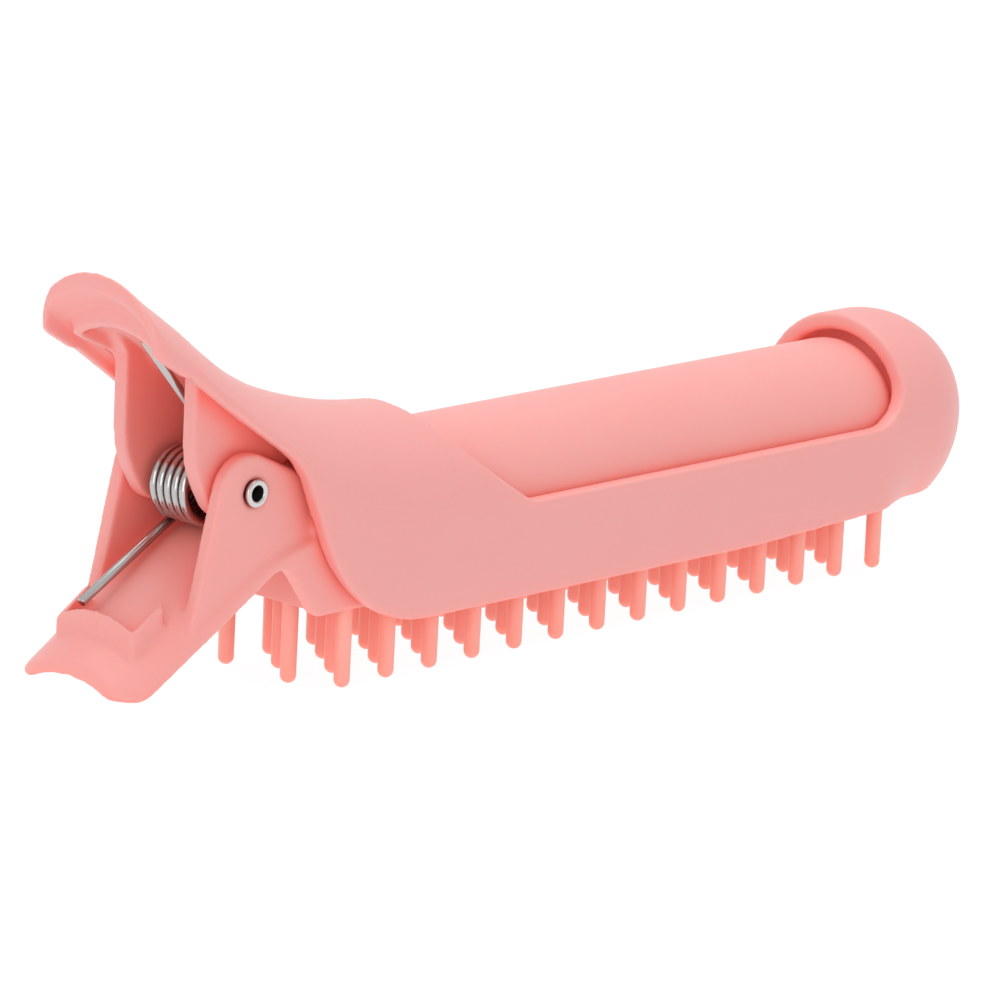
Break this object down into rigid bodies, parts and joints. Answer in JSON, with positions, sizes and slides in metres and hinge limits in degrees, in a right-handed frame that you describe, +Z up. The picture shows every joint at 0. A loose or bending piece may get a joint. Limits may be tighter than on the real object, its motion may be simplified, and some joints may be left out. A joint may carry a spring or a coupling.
{
  "type": "hair root volumizing clip",
  "caption": "Sprung hair root clip: a hinged, windowed cover arm closes over a roller arm that carries a comb insert, shut by a torsion spring about a hollow pin.",
  "frame": {"origin": "centre of the closed clip's outline in plan, at the height of the tooth tips it stands on", "axes": "+X along the clip towards the nose, the two finger levers at -X; +Y across the clip, along the hinge pin; +Z up, teeth pointing down"},
  "size_m": [0.127, 0.0218, 0.0447],
  "materials": {
    "cover_plastic": "satin salmon pink, moulded",
    "roller_plastic": "satin salmon pink, moulded",
    "comb_plastic": "satin salmon pink, moulded",
    "pin_metal": "bright nickel plate on steel tube",
    "spring_wire": "bright nickel plate on spring wire"
  },
  "bodies": {
    "roller_body": {"roller_arm": "roller_plastic", "comb_insert": "comb_plastic", "hinge_pin": "pin_metal", "torsion_spring": "spring_wire"},
    "cover_body": {"cover_arm": "cover_plastic"}
  },
  "joints": [
    {"name": "cover_hinge", "type": "hinge", "parent": "roller_body", "child": "cover_body", "pos_m": [-0.0465, 0, 0.0222], "axis": [0, -1, 0], "range_deg": [0, 50], "stiffness_Nm_per_rad": 0.15, "springref_deg": -34.38, "deforming": ["torsion_spring"]}
  ]
}
